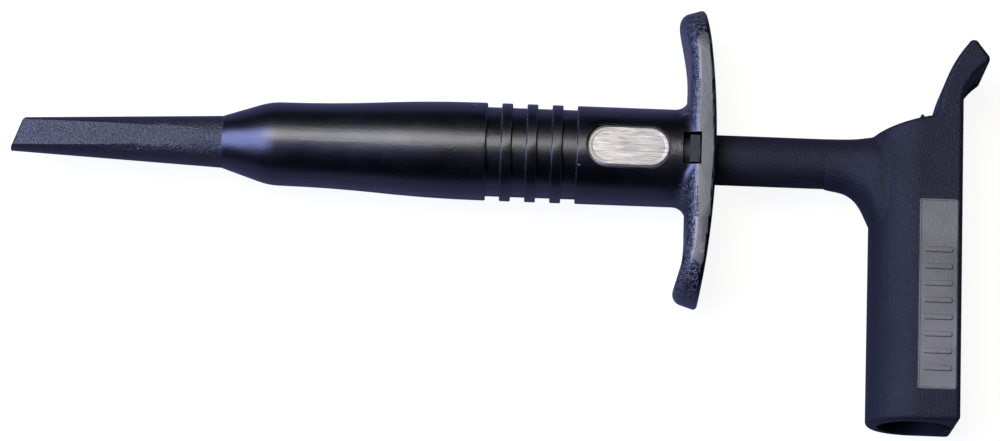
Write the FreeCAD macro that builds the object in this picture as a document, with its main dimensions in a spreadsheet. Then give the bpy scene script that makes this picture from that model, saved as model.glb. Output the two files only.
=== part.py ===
"""Spring-return test clip: push the handle and two small jaws come out of the nose.

Every sub-part is drawn in the clip's own axes: X runs along the barrel from the nose tip
towards the handle, Y towards the thumb horn, Z up, in millimetres. One shared placement then
puts the origin under the middle of the clip as it lies on its side.
"""
import FreeCAD, Part
import math
import os
import Sketcher

Vector = FreeCAD.Vector

DIMENSIONS = (
    ("overall_length", 110.5, "nose tip to horn tip"),
    ("lying_height", 5.57, "barrel axis above the surface that the clip lies on"),
    ("axis_offset", 6.35, "barrel axis from the middle of the width, towards the horn"),
    ("seat_play", 0.03, "play round a piece that is seated in another"),
    # nose
    ("nose_length", 24.1, "nose tip to the barrel's cone"),
    ("nose_tip_radius", 1.92, "half width of the nose at its tip"),
    ("nose_base_radius", 2.97, "half width of the nose at the barrel"),
    ("nose_tip_flat", 1.2, "half thickness between the nose flats at the tip"),
    ("nose_slant", 1.36, "how far the upper tip corner stands back"),
    ("nose_rim", 0.35, "rounding of the nose's rim"),
    ("spigot_radius", 2.3, "nose spigot in the barrel"),
    ("spigot_end", 30.0, "end of the nose spigot"),
    ("liner_radius", 1.9, "outside of the guide sleeve"),
    ("liner_start", 25.0, "front of the guide sleeve"),
    ("liner_bore", 1.26, "guide sleeve bore round the rod"),
    ("slot_half_width", 1.3, "half width of the jaw slot, and the rod bore behind it"),
    ("slot_half_height", 0.65, "half height of the jaw slot"),
    ("slot_end", 16.2, "rear end of the jaw slot"),
    ("bore_start", 7.6, "front end of the round bore in the nose"),
    # barrel
    ("cone_end", 29.4, "rear of the cone"),
    ("cone_radius", 3.02, "cone at the nose"),
    ("cone_round", 8.0, "rounding between cone and barrel"),
    ("front_radius", 4.75, "barrel in front of the flare"),
    ("flare_start", 30.3, "front of the flare"),
    ("flare_end", 53.5, "rear of the flare"),
    ("barrel_radius", 5.57, "grip and rear of the barrel"),
    ("groove_start", 54.0, "first grip groove"),
    ("groove_width", 1.62, "grip groove width"),
    ("groove_pitch", 2.86, "grip groove spacing"),
    ("groove_radius", 5.08, "bottom of the grip grooves"),
    ("groove_count", 4, "number of grip grooves"),
    ("chamber_start", 34.0, "spring chamber's front shoulder"),
    ("chamber_radius", 3.6, "spring chamber"),
    ("throat_radius", 1.5, "hole between nose and spring chamber"),
    ("bush_start", 70.0, "front of the rear bush"),
    ("bush_radius", 4.2, "seat of the rear bush"),
    ("bush_bore", 2.95, "rear bush bore round the shaft"),
    # finger flange
    ("flange_front", 76.8, "front face of the finger flange"),
    ("flange_rear", 79.9, "rear apex of the finger flange"),
    ("flange_straight", 8.0, "half length of the straight front face"),
    ("flange_half_span", 17.43, "half span of the finger flange"),
    ("flange_sweep", 1.4, "how far the flange ends sweep forwards"),
    ("flange_end_radius", 5.4, "rounding of the flange ends"),
    ("flange_crown", 1.25, "rounding of the flange's front face"),
    ("flange_edge", 0.45, "rounding of the flange's rear face"),
    ("flange_root", 1.5, "fillet between barrel and flange"),
    # plate and latch windows
    ("plate_start", 65.3, "front of the oval plate"),
    ("plate_length", 9.5, "oval plate length"),
    ("plate_width", 4.75, "oval plate width"),
    ("plate_top", 5.04, "top of the oval plate"),
    ("plate_thickness", 0.55, "oval plate thickness"),
    ("plate_edge", 0.15, "rounding of the oval plate's edge"),
    ("plate_play", 0.1, "play round the oval plate"),
    ("window_start", 76.1, "front of the latch windows"),
    ("window_length", 2.1, "length of the latch windows"),
    ("window_width", 3.75, "width of the latch windows"),
    ("latch_start", 76.95, "front of the latch tongues"),
    ("latch_length", 1.05, "length of the latch tongues"),
    ("latch_width", 3.1, "width of the latch tongues"),
    ("latch_top", 5.1, "tip of the latch tongues from the axis"),
    # plunger
    ("shaft_radius", 2.85, "plunger shaft"),
    ("shaft_start", 68.0, "front of the plunger shaft"),
    ("rod_radius", 1.2, "brass rod"),
    ("rod_start", 20.0, "front of the brass rod"),
    ("rod_end", 104.9, "rear of the brass rod"),
    ("strip_thickness", 0.34, "drive strip thickness"),
    ("strip_half_width", 1.0, "drive strip half width"),
    ("strip_end", 23.5, "rear of the drive strip"),
    ("rivet_radius", 0.35, "rivet through rod and strip"),
    ("rivet_place", 22.0, "rivet from the nose tip"),
    ("pivot_place", 14.2, "jaw pivot from the nose tip"),
    ("pivot_radius", 0.4, "jaw pivot pin"),
    ("pivot_play", 0.04, "play of the jaws on the pin"),
    ("eye_radius", 1.15, "jaw eye"),
    ("eye_thickness", 0.33, "jaw eye thickness"),
    ("jaw_half_height", 0.55, "half thickness of the jaws"),
    ("jaw_reach", 12.6, "jaw tip from the pivot"),
    ("jaw_gap", 0.03, "half gap between the closed jaws"),
    ("jaw_heel", 0.2, "start of the jaw arm from the pivot"),
    ("jaw_shoulder", 0.9, "half width of the jaw arm at its heel"),
    ("jaw_tip_half", 0.75, "half width of the jaw tip"),
    ("jaw_tip_bevel", 0.3, "bevel inside the jaw tip"),
    ("eye_play", 0.15, "clearance round the other jaw's eye"),
    ("tooth_place", 0.7, "first tooth notch from the jaw tip"),
    ("tooth_half", 0.15, "half width of a tooth notch"),
    ("tooth_depth", 0.2, "depth of a tooth notch"),
    ("tooth_row", 1.5, "length of the row of tooth notches"),
    ("tooth_count", 6, "number of tooth notches"),
    ("jaw_turn", 7.5, "jaw opening each way at full stroke, degrees"),
    ("stroke", 12.0, "plunger stroke"),
    ("collar_start", 66.0, "front of the spring collar"),
    ("collar_radius", 3.4, "spring collar"),
    ("clip_width", 0.5, "collar clip width"),
    ("clip_radius", 2.0, "collar clip outside"),
    ("clip_groove", 0.95, "collar clip groove in the rod"),
    ("seat_thickness", 0.5, "spring seat washer"),
    ("spring_radius", 2.85, "spring mean radius"),
    ("wire_radius", 0.3, "spring wire"),
    ("spring_turns", 16, "spring turns"),
    # handle
    ("tube_front", 97.5, "front of the socket tube"),
    ("tube_rear", 107.6, "flat rear of the socket tube"),
    ("tube_half_depth", 5.45, "half depth of the socket tube"),
    ("mouth_place", 30.0, "socket mouth below the barrel axis"),
    ("hump_start", 3.0, "height of the hump at the front of the tube"),
    ("horn_root", 104.6, "front of the thumb horn"),
    ("horn_root_height", 5.1, "height of the hump at the horn"),
    ("horn_tip_rear", 110.5, "rear of the horn's hooked tip"),
    ("horn_top", 13.9, "top of the horn"),
    ("hump_middle", 3.95, "height of the hump half way to the horn"),
    ("hump_middle_place", 100.4, "that point from the nose tip"),
    ("horn_foot", 7.2, "height where the horn's back leaves the tube"),
    ("horn_bow", 108.75, "back of the horn half way up"),
    ("horn_bow_height", 9.6, "height of that point"),
    ("hook_back", 110.1, "back of the horn under its hooked tip"),
    ("hook_back_height", 11.0, "height of that point"),
    ("hook_low", 11.6, "lower corner of the hooked tip"),
    ("hook_high", 12.1, "upper corner of the hooked tip"),
    ("hook_round", 0.1, "rounding between those corners"),
    ("peak_place", 108.7, "top of the horn from the nose tip"),
    ("peak_half", 0.6, "half width of the horn's rounded top"),
    ("peak_round", 0.4, "height of the horn's rounded top"),
    ("horn_front", 105.9, "front of the horn half way up"),
    ("horn_front_height", 9.9, "height of that point"),
    ("root_rise", 1.1, "height of the curve between hump and horn"),
    ("root_run", 0.9, "length of that curve along the hump"),
    ("root_lean", 0.25, "how far that curve leans at its two ends"),
    ("root_dip", 0.1, "how far the middle of that curve stands off its corner"),
    ("handle_edge", 0.6, "rounding of the handle's edges"),
    ("neck_radius", 5.1, "concave corner between shaft and tube"),
    ("neck_blend", 1.0, "small fillet where the neck meets the tube"),
    ("socket_radius", 4.15, "shroud bore for the sheathed plug"),
    ("socket_depth", 24.0, "depth of the shroud bore"),
    ("head_radius", 2.6, "contact head in the handle"),
    ("head_top", 2.4, "top of the contact head"),
    ("contact_radius", 2.8, "contact tube outside"),
    ("contact_bore", 2.02, "contact bore for the plug pin"),
    ("contact_mouth", 25.0, "contact mouth below the barrel axis"),
    ("contact_floor", 7.4, "contact bore floor below the barrel axis"),
    ("contact_collar", 2.0, "contact collar thickness"),
    ("screw_radius", 0.8, "clamping screw"),
    ("screw_head_radius", 1.5, "clamping screw head"),
    ("ring_thickness", 0.8, "retaining ring"),
    ("panel_start", 102.75, "front edge of the label panel"),
    ("panel_width", 4.35, "width of the label panel"),
    ("panel_top_edge", 4.8, "upper end of the label panel below the axis"),
    ("panel_length", 21.7, "length of the label panel"),
    ("panel_depth", 0.35, "label panel set into the handle"),
    ("panel_proud", 0.1, "label panel above the handle's side"),
    ("panel_edge", 0.08, "rounding of the label panel's edge"),
)

doc = FreeCAD.newDocument("test_clip")
sheet = doc.addObject("Spreadsheet::Sheet", "dims")
for row, (alias, value, meaning) in enumerate(DIMENSIONS, start=1):
    sheet.set("A%d" % row, meaning)
    sheet.set("B%d" % row, str(value))
    sheet.setAlias("B%d" % row, alias)
doc.recompute()
SIZE = {alias: value for alias, value, meaning in DIMENSIONS}

SOCKET_X = "(dims.tube_front + dims.tube_half_depth)"
sub_parts = []


# ---------------------------------------------------------------- drawing helpers

def place(thing):
    """Give a sub-part the shared placement: origin under the middle of the lying clip."""
    thing.setExpression("Placement.Base.x", "-dims.overall_length / 2")
    thing.setExpression("Placement.Base.y", "dims.axis_offset")
    thing.setExpression("Placement.Base.z", "dims.lying_height")
    sub_parts.append(thing)
    return thing


def new_body(label):
    body = doc.addObject("PartDesign::Body", label)
    body.Label = label
    return place(body)


def origin_feature(body, role):
    return next(part for part in body.Origin.OriginFeatures if part.Role == role)


def number(text):
    """The present value of an expression, to start a sketch point near its place."""
    return float(sheet.evalExpression(text.replace("dims.", "")))


def new_sketch(body, plane, lift=None, shift=None):
    """A sketch on an origin plane, lifted off it and shifted along its first axis."""
    sketch = body.newObject("Sketcher::SketchObject", body.Label + "_sketch")
    sketch.AttachmentSupport = (origin_feature(body, plane), [""])
    sketch.MapMode = "FlatFace"
    if lift:
        sketch.setExpression("AttachmentOffset.Base.z", lift)
    if shift:
        sketch.setExpression("AttachmentOffset.Base.x", shift)
    return sketch


def pin_point(sketch, geometry, corner, point):
    for kind, text in zip(("DistanceX", "DistanceY"), point):
        index = sketch.addConstraint(
            Sketcher.Constraint(kind, -1, 1, geometry, corner, number(text)))
        sketch.setExpression("Constraints[%d]" % index, text)


def outline(sketch, start, *steps):
    """Closed outline: each step is (x, y) for a line or (mid x, mid y, x, y) for an arc."""
    ends = [start] + [step[-2:] for step in steps]
    count = len(steps)
    for index, step in enumerate(steps):
        a, b = (Vector(number(p[0]), number(p[1]), 0) for p in (ends[index], ends[index + 1]))
        if len(step) == 2:
            sketch.addGeometry(Part.LineSegment(a, b), False)
        else:
            middle = Vector(number(step[0]), number(step[1]), 0)
            sketch.addGeometry(Part.Arc(a, middle, b), False)
    first = [corner(sketch, index, ends[index]) for index in range(count)]
    last = [3 - side for side in first]
    for index in range(count):
        after = (index + 1) % count
        sketch.addConstraint(
            Sketcher.Constraint("Coincident", index, last[index], after, first[after]))
    for index in range(count):
        pin_point(sketch, index, first[index], ends[index])
    for index, step in enumerate(steps):
        if len(step) == 4:
            middle = Vector(number(step[0]), number(step[1]), 0)
            marker = sketch.addGeometry(Part.Point(middle), True)
            pin_point(sketch, marker, 1, step[:2])
            sketch.addConstraint(Sketcher.Constraint("PointOnObject", marker, 1, index))
    return sketch


def corner(sketch, geometry, point):
    """Which end of a piece of sketch geometry lies at a point: 1 start, 2 end."""
    place_there = Vector(number(point[0]), number(point[1]), 0)
    gap = sketch.getPoint(geometry, 1).distanceToPoint(place_there)
    return 1 if gap < 1e-6 else 2


def box_outline(sketch, low, high):
    return outline(sketch, low, (high[0], low[1]), high, (low[0], high[1]), low)


def round_outline(sketch, centre, radius):
    """A circle at a point, its radius bound to the sheet."""
    middle = Vector(number(centre[0]), number(centre[1]), 0)
    ring = sketch.addGeometry(Part.Circle(middle, Vector(0, 0, 1), number(radius)), False)
    pin_point(sketch, ring, 3, centre)
    index = sketch.addConstraint(Sketcher.Constraint("Radius", ring, number(radius)))
    sketch.setExpression("Constraints[%d]" % index, radius)
    return sketch


def long_hole_outline(sketch, start, length, width):
    """A stadium along the first axis of the sketch, centred on it."""
    half = width + " / 2"
    left = start + " + " + half
    right = start + " + " + length + " - " + half
    low = "0 - " + half
    return outline(sketch, (left, low), (right, low),
                   (right + " + " + half, "0", right, half), (left, half),
                   (left + " - " + half, "0", left, low))


def pad(body, sketch, length, midplane=True, backwards=False):
    feature = body.newObject("PartDesign::Pad", body.Label + "_pad")
    feature.Profile = sketch
    feature.Midplane = midplane
    feature.Reversed = backwards
    feature.setExpression("Length", length)
    return feature


def pocket(body, sketch, length=None, midplane=True, backwards=False):
    """Cut a sketch out of the body; the cut must take something away."""
    doc.recompute()
    before = body.Shape.Volume
    feature = body.newObject("PartDesign::Pocket", body.Label + "_pocket")
    feature.Profile = sketch
    feature.Midplane = midplane
    feature.Reversed = backwards
    if length is None:
        feature.Type = "ThroughAll"
    else:
        feature.setExpression("Length", length)
    doc.recompute()
    if body.Shape.Volume > before - 1e-6:
        raise RuntimeError("a pocket in %s cuts nothing" % body.Label)
    return feature


def turn(body, sketch, axis="H_Axis", cut=False):
    """Revolve a sketch about its own axis, adding or cutting."""
    kind = "PartDesign::Groove" if cut else "PartDesign::Revolution"
    doc.recompute()
    before = body.Shape.Volume if cut else 0
    feature = body.newObject(kind, body.Label + ("_groove" if cut else "_turned"))
    feature.Profile = sketch
    feature.ReferenceAxis = (sketch, [axis])
    feature.Angle = 360
    doc.recompute()
    if cut and body.Shape.Volume > before - 1e-6:
        raise RuntimeError("a groove in %s cuts nothing" % body.Label)
    return feature


def repeat(body, feature, length, count):
    """Repeat a feature along X."""
    pattern = body.newObject("PartDesign::LinearPattern", body.Label + "_pattern")
    pattern.Originals = [feature]
    pattern.Direction = (origin_feature(body, "X_Axis"), [""])
    pattern.setExpression("Length", length)
    pattern.setExpression("Occurrences", count)
    body.Tip = pattern
    doc.recompute()
    return pattern


def mirror(body, feature, plane="XY_Plane"):
    copy = body.newObject("PartDesign::Mirrored", body.Label + "_mirrored")
    copy.Originals = [feature]
    copy.MirrorPlane = (origin_feature(body, plane), [""])
    body.Tip = copy
    doc.recompute()
    return copy


def fillet(body, radius, wanted):
    """Round the edges of the body that a test picks out."""
    doc.recompute()
    base = body.Tip
    names = ["Edge%d" % index for index, edge in enumerate(base.Shape.Edges, start=1)
             if wanted(edge)]
    if not names:
        raise RuntimeError("no edge to round in " + body.Label)
    feature = body.newObject("PartDesign::Fillet", body.Label + "_fillet")
    feature.Base = (base, names)
    feature.setExpression("Radius", radius)
    doc.recompute()
    if "Invalid" in feature.State or not feature.Shape.isValid():
        raise RuntimeError("a fillet in %s fails" % body.Label)
    return feature


def middle_of(edge):
    """A point half way along an edge."""
    return edge.valueAt((edge.FirstParameter + edge.LastParameter) / 2)


def turned_part(label, start, *steps, axis="H_Axis", plane="XY_Plane", shift=None):
    body = new_body(label)
    turn(body, outline(new_sketch(body, plane, shift=shift), start, *steps), axis)
    return body


def ring_part(label, front, rear, inner, outer):
    """A plain ring or sleeve on the barrel axis."""
    return turned_part(label, (front, inner), (rear, inner), (rear, outer), (front, outer),
                       (front, inner))


# ---------------------------------------------------------------- nose

def make_nose():
    body = new_body("nose")
    turn(body, outline(
        new_sketch(body, "XY_Plane"),
        ("0", "0"),
        ("dims.spigot_end", "0"),
        ("dims.spigot_end", "dims.spigot_radius"),
        ("dims.nose_length", "dims.spigot_radius"),
        ("dims.nose_length", "dims.nose_base_radius"),
        ("0", "dims.nose_tip_radius"),
        ("0", "0")))
    flat = pocket(body, outline(
        new_sketch(body, "XZ_Plane"),
        ("0 - 1", "dims.nose_tip_flat"),
        ("dims.nose_length", "dims.nose_base_radius"),
        ("dims.nose_length", "dims.nose_base_radius + 2"),
        ("0 - 1", "dims.nose_base_radius + 2"),
        ("0 - 1", "dims.nose_tip_flat")))
    mirror(body, flat)
    pocket(body, outline(
        new_sketch(body, "XY_Plane"),
        ("0 - 2", "0 - 3 * dims.nose_tip_radius"),
        ("0 - dims.nose_slant", "0 - 3 * dims.nose_tip_radius"),
        ("2 * dims.nose_slant", "3 * dims.nose_tip_radius"),
        ("0 - 2", "3 * dims.nose_tip_radius"),
        ("0 - 2", "0 - 3 * dims.nose_tip_radius")))
    fillet(body, "dims.nose_rim", lambda edge: middle_of(edge).x < 1.5 and edge.Length > 1.5)
    pocket(body, box_outline(
        new_sketch(body, "XY_Plane"),
        ("0 - 1", "0 - dims.slot_half_width"),
        ("dims.slot_end", "dims.slot_half_width")), "2 * dims.slot_half_height")
    turn(body, box_outline(
        new_sketch(body, "XY_Plane"), ("dims.bore_start", "0"),
        ("dims.spigot_end", "dims.slot_half_width")), cut=True)
    turn(body, box_outline(
        new_sketch(body, "XY_Plane"), ("dims.liner_start", "0"),
        ("dims.spigot_end", "dims.liner_radius")), cut=True)


def make_nose_liner():
    ring_part("nose_liner", "dims.liner_start", "dims.spigot_end",
              "dims.liner_bore", "dims.liner_radius")


# ---------------------------------------------------------------- barrel

def flange_outline(sketch):
    """The finger flange seen from its side: straight in front, swept at the ends."""
    span = "dims.flange_half_span"
    corner_y = "dims.flange_half_span - 1"
    front_x = "dims.flange_front - dims.flange_sweep - 0.25"
    rear_x = "dims.flange_rear - dims.flange_sweep - 0.2"
    bend_x = "dims.flange_front - 0.22 * dims.flange_sweep"
    bend_y = "(dims.flange_straight + dims.flange_half_span - 1) / 2"
    return outline(
        sketch,
        ("dims.flange_front", "0 - dims.flange_straight"),
        (bend_x, "0 - " + bend_y, front_x, "0 - (%s)" % corner_y),
        (rear_x, "0 - " + span),
        ("dims.flange_rear", "0", rear_x, span),
        (front_x, corner_y),
        (bend_x, bend_y, "dims.flange_front", "dims.flange_straight"),
        ("dims.flange_front", "0 - dims.flange_straight"))


def make_barrel():
    body = new_body("barrel")
    reach = SIZE["flange_half_span"]
    half = SIZE["barrel_radius"]
    flare_at = "dims.flare_start + (dims.flare_end - dims.flare_start) *"
    rise = "(dims.barrel_radius - dims.front_radius)"
    halfway = "(dims.barrel_radius + dims.front_radius) / 2"
    pad(body, flange_outline(new_sketch(body, "XY_Plane")), "2 * dims.barrel_radius")
    fillet(body, "dims.flange_end_radius",
           lambda edge: abs(middle_of(edge).y) > reach - 1.2
           and abs(abs(middle_of(edge).z) - half) < 0.01 and edge.Length < 5)
    fillet(body, "dims.flange_crown",
           lambda edge: middle_of(edge).x < SIZE["flange_front"] + 0.1
           and abs(abs(middle_of(edge).z) - half) < 0.01)
    fillet(body, "dims.flange_edge",
           lambda edge: abs(middle_of(edge).x - SIZE["flange_rear"]) < 0.6
           and abs(abs(middle_of(edge).z) - half) < 0.01)
    turn(body, outline(
        new_sketch(body, "XY_Plane"),
        ("dims.nose_length", "0"),
        ("dims.flange_rear - 0.3", "0"),
        ("dims.flange_rear - 0.3", "dims.barrel_radius"),
        ("dims.flare_end", "dims.barrel_radius"),
        (flare_at + " 0.75", "dims.barrel_radius - 0.125 * " + rise, flare_at + " 0.5", halfway),
        (flare_at + " 0.25", "dims.front_radius + 0.125 * " + rise,
         "dims.flare_start", "dims.front_radius"),
        ("dims.cone_end", "dims.front_radius"),
        ("dims.nose_length", "dims.cone_radius"),
        ("dims.nose_length", "0")))
    fillet(body, "dims.flange_root",
           lambda edge: edge.Curve.TypeId == "Part::GeomCircle"
           and abs(middle_of(edge).x - SIZE["flange_front"]) < 0.01
           and abs(math.hypot(middle_of(edge).y, middle_of(edge).z) - half) < 0.02)
    fillet(body, "dims.cone_round",
           lambda edge: abs(middle_of(edge).x - SIZE["cone_end"]) < 0.01)
    rings = turn(body, box_outline(
        new_sketch(body, "XY_Plane"), ("dims.groove_start", "dims.groove_radius"),
        ("dims.groove_start + dims.groove_width", "dims.barrel_radius + 1")), cut=True)
    repeat(body, rings, "dims.groove_pitch * (dims.groove_count - 1)", "dims.groove_count")
    fillet(body, "dims.groove_width / 12",
           lambda edge: edge.Length > 30 and abs(middle_of(edge).x - 59) < 6
           and edge.Curve.TypeId == "Part::GeomCircle"
           and edge.Curve.Radius > SIZE["groove_radius"] + 0.1)
    seat = "dims.plate_top - dims.plate_thickness"
    pocket(body, long_hole_outline(
        new_sketch(body, "XY_Plane", lift=seat), "dims.plate_start - dims.plate_play",
        "dims.plate_length + 2 * dims.plate_play", "(dims.plate_width + 2 * dims.plate_play)"),
        "3", midplane=False, backwards=True)
    pocket(body, box_outline(
        new_sketch(body, "XY_Plane"), ("dims.window_start", "0 - dims.window_width / 2"),
        ("dims.window_start + dims.window_length", "dims.window_width / 2")))
    turn(body, outline(
        new_sketch(body, "XY_Plane"),
        ("dims.nose_length - 1", "0"),
        ("dims.flange_rear + 1", "0"),
        ("dims.flange_rear + 1", "dims.bush_radius"),
        ("dims.bush_start", "dims.bush_radius"),
        ("dims.bush_start", "dims.chamber_radius"),
        ("dims.chamber_start", "dims.chamber_radius"),
        ("dims.chamber_start", "dims.throat_radius"),
        ("dims.spigot_end", "dims.throat_radius"),
        ("dims.spigot_end", "dims.spigot_radius + dims.seat_play"),
        ("dims.nose_length - 1", "dims.spigot_radius + dims.seat_play"),
        ("dims.nose_length - 1", "0")), cut=True)


def make_marking_plate():
    body = new_body("marking_plate")
    pad(body, long_hole_outline(
        new_sketch(body, "XY_Plane", lift="dims.plate_top - dims.plate_thickness"),
        "dims.plate_start", "dims.plate_length", "dims.plate_width"),
        "dims.plate_thickness", midplane=False)
    fillet(body, "dims.plate_edge", lambda edge: abs(middle_of(edge).z - SIZE["plate_top"]) < 0.01)


def make_rear_bush():
    body = new_body("rear_bush")
    latch_length = "dims.latch_start + dims.latch_length"
    pad(body, box_outline(
        new_sketch(body, "XY_Plane"), ("dims.latch_start", "0 - dims.latch_width / 2"),
        (latch_length, "dims.latch_width / 2")), "2 * dims.latch_top")
    turn(body, box_outline(
        new_sketch(body, "XY_Plane"), ("dims.bush_start", "0"),
        ("dims.flange_rear - 0.5", "dims.bush_radius - dims.seat_play")))
    turn(body, box_outline(
        new_sketch(body, "XY_Plane"), ("dims.bush_start - 1", "0"),
        ("dims.flange_rear + 1", "dims.bush_bore")), cut=True)


def make_spring_seat():
    ring_part("spring_seat", "dims.chamber_start", "dims.chamber_start + dims.seat_thickness",
              "dims.throat_radius", "dims.chamber_radius - 0.05")


# ---------------------------------------------------------------- plunger

def make_rod():
    body = new_body("plunger_rod")
    groove = "dims.collar_start - dims.clip_width"
    turn(body, outline(
        new_sketch(body, "XY_Plane"),
        ("dims.rod_start", "0"),
        ("dims.rod_end", "0"),
        ("dims.rod_end", "dims.rod_radius"),
        ("dims.collar_start", "dims.rod_radius"),
        ("dims.collar_start", "dims.clip_groove"),
        (groove, "dims.clip_groove"),
        (groove, "dims.rod_radius"),
        ("dims.rod_start + 0.3", "dims.rod_radius"),
        ("dims.rod_start", "dims.rod_radius - 0.3"),
        ("dims.rod_start", "0")))
    pocket(body, box_outline(
        new_sketch(body, "XY_Plane"), ("dims.rod_start - 1", "0 - 2"),
        ("dims.strip_end", "2")), "dims.strip_thickness")
    pocket(body, round_outline(
        new_sketch(body, "XY_Plane"), ("dims.rivet_place", "0"), "dims.rivet_radius"))


def make_drive_strip():
    body = new_body("drive_strip")
    pad(body, outline(
        new_sketch(body, "XY_Plane"),
        ("dims.pivot_place", "0 - dims.strip_half_width"),
        ("dims.strip_end", "0 - dims.strip_half_width"),
        ("dims.strip_end", "dims.strip_half_width"),
        ("dims.pivot_place", "dims.strip_half_width"),
        ("dims.pivot_place - dims.strip_half_width", "0",
         "dims.pivot_place", "0 - dims.strip_half_width")), "dims.strip_thickness")
    pocket(body, round_outline(
        new_sketch(body, "XY_Plane"), ("dims.rivet_place", "0"), "dims.rivet_radius"))
    pocket(body, round_outline(
        new_sketch(body, "XY_Plane"), ("dims.pivot_place", "0"), "dims.pivot_radius"))


def make_pins():
    rivet = new_body("strip_rivet")
    pad(rivet, round_outline(
        new_sketch(rivet, "XY_Plane"), ("dims.rivet_place", "0"), "dims.rivet_radius"),
        "2 * dims.rod_radius - 0.15")
    pin = new_body("jaw_pivot_pin")
    pad(pin, round_outline(
        new_sketch(pin, "XY_Plane"), ("dims.pivot_place", "0"), "dims.pivot_radius"),
        "2 * dims.jaw_half_height + 0.06")


def make_collar_parts():
    ring_part("spring_collar", "dims.collar_start", "dims.shaft_start",
              "dims.rod_radius", "dims.collar_radius")
    ring_part("collar_clip", "dims.collar_start - dims.clip_width", "dims.collar_start",
              "dims.clip_groove", "dims.clip_radius")
    ring_part("stop_washer", "dims.shaft_start", "dims.bush_start - 0.03",
              "dims.shaft_radius", "dims.collar_radius + 0.1")


def make_return_spring():
    """A round-wire compression spring between the seat washer and the collar."""
    start = SIZE["chamber_start"] + SIZE["seat_thickness"] + SIZE["wire_radius"] + 0.05
    end = SIZE["collar_start"] - SIZE["wire_radius"] - 0.05
    turns = SIZE["spring_turns"]
    helix = Part.makeHelix((end - start) / turns, end - start, SIZE["spring_radius"])
    section = Part.Wire(Part.makeCircle(
        SIZE["wire_radius"], Vector(SIZE["spring_radius"], 0, 0), Vector(0, 1, 0)))
    coil = Part.Wire(helix.Edges).makePipeShell([section], True, True)
    along_barrel = FreeCAD.Placement(Vector(start, 0, 0), FreeCAD.Rotation(Vector(0, 1, 0), 90))
    spring = doc.addObject("Part::Feature", "return_spring")
    spring.Label = "return_spring"
    spring.Shape = coil.transformed(along_barrel.toMatrix(), True)
    place(spring)


# ---------------------------------------------------------------- jaws

def jaw_clearance(distance):
    """Half width that lets the jaw pass the nose mouth at every step of the stroke."""
    lean = "dims.jaw_turn * 0.0174533 / dims.stroke"
    return "dims.slot_half_width - 0.12 - %s * %s * (dims.pivot_place - %s)" % (
        distance, lean, distance)


def make_jaw(label, side):
    """A flat jaw: a full-thickness arm and a half-lapped eye, opening towards one side."""
    sign = "1" if side > 0 else "0 - 1"
    body = new_body(label)

    def at(distance, width):
        return ("dims.pivot_place - (%s)" % distance, "(%s) * (%s)" % (sign, width))

    def outer(distance):
        return at(distance, jaw_clearance(distance))

    tip = "dims.jaw_reach"
    arm = outline(
        new_sketch(body, "XY_Plane"),
        at("dims.jaw_heel", "dims.jaw_gap"),
        at("dims.jaw_heel", "dims.jaw_shoulder"),
        outer("2"),
        outer("7") + outer("12"),
        at(tip, "dims.jaw_tip_half"),
        at(tip, "dims.jaw_tip_bevel - 0.05"),
        at(tip + " - dims.jaw_tip_bevel", "dims.jaw_gap"),
        at("dims.jaw_heel", "dims.jaw_gap"))
    pad(body, arm, "2 * dims.jaw_half_height")
    clear = "(dims.eye_radius + dims.eye_play)"
    lap = "dims.jaw_half_height - dims.eye_thickness"
    low_side = side > 0
    upper = "0 - (%s)" % lap if low_side else "0 - dims.jaw_half_height - 0.5"
    pocket(body, round_outline(
        new_sketch(body, "XY_Plane", lift=upper), ("dims.pivot_place", "0"), clear),
        "2 * dims.jaw_half_height - dims.eye_thickness + 0.5", midplane=False, backwards=True)
    foot = "0 - dims.jaw_half_height" if low_side else lap
    pad(body, round_outline(
        new_sketch(body, "XY_Plane", lift=foot), ("dims.pivot_place", "0"), "dims.eye_radius"),
        "dims.eye_thickness", midplane=False)
    pocket(body, round_outline(
        new_sketch(body, "XY_Plane"), ("dims.pivot_place", "0"),
        "dims.pivot_radius + dims.pivot_play"))
    notch = "dims.jaw_reach - dims.tooth_place"
    tooth = pocket(body, outline(
        new_sketch(body, "XY_Plane"),
        at(notch + " + dims.tooth_half", "0 - dims.tooth_depth"),
        at(notch, "dims.tooth_depth"),
        at(notch + " - dims.tooth_half", "0 - dims.tooth_depth"),
        at(notch + " + dims.tooth_half", "0 - dims.tooth_depth")))
    repeat(body, tooth, "dims.tooth_row", "dims.tooth_count")


# ---------------------------------------------------------------- handle

def handle_outline(sketch):
    """The handle seen from its side: tube, hump and hooked thumb horn."""
    peak_side = "dims.horn_top - dims.peak_round"
    return outline(
        sketch,
        ("dims.tube_front", "0 - dims.mouth_place"),
        ("dims.tube_rear", "0 - dims.mouth_place"),
        ("dims.tube_rear", "dims.horn_foot"),
        ("dims.horn_bow", "dims.horn_bow_height", "dims.hook_back", "dims.hook_back_height"),
        ("dims.horn_tip_rear", "dims.hook_low", "dims.horn_tip_rear - dims.hook_round", "dims.hook_high"),
        ("dims.peak_place + dims.peak_half", peak_side),
        ("dims.peak_place", "dims.horn_top", "dims.peak_place - dims.peak_half", peak_side),
        ("dims.horn_front", "dims.horn_front_height",
         "dims.horn_root + dims.root_lean", "dims.horn_root_height + dims.root_rise"),
        ("dims.horn_root - dims.root_dip", "dims.horn_root_height + dims.root_dip",
         "dims.horn_root - dims.root_run", "dims.horn_root_height - dims.root_lean"),
        ("dims.hump_middle_place", "dims.hump_middle", "dims.tube_front", "dims.hump_start"),
        ("dims.tube_front", "0 - dims.mouth_place"))


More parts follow.
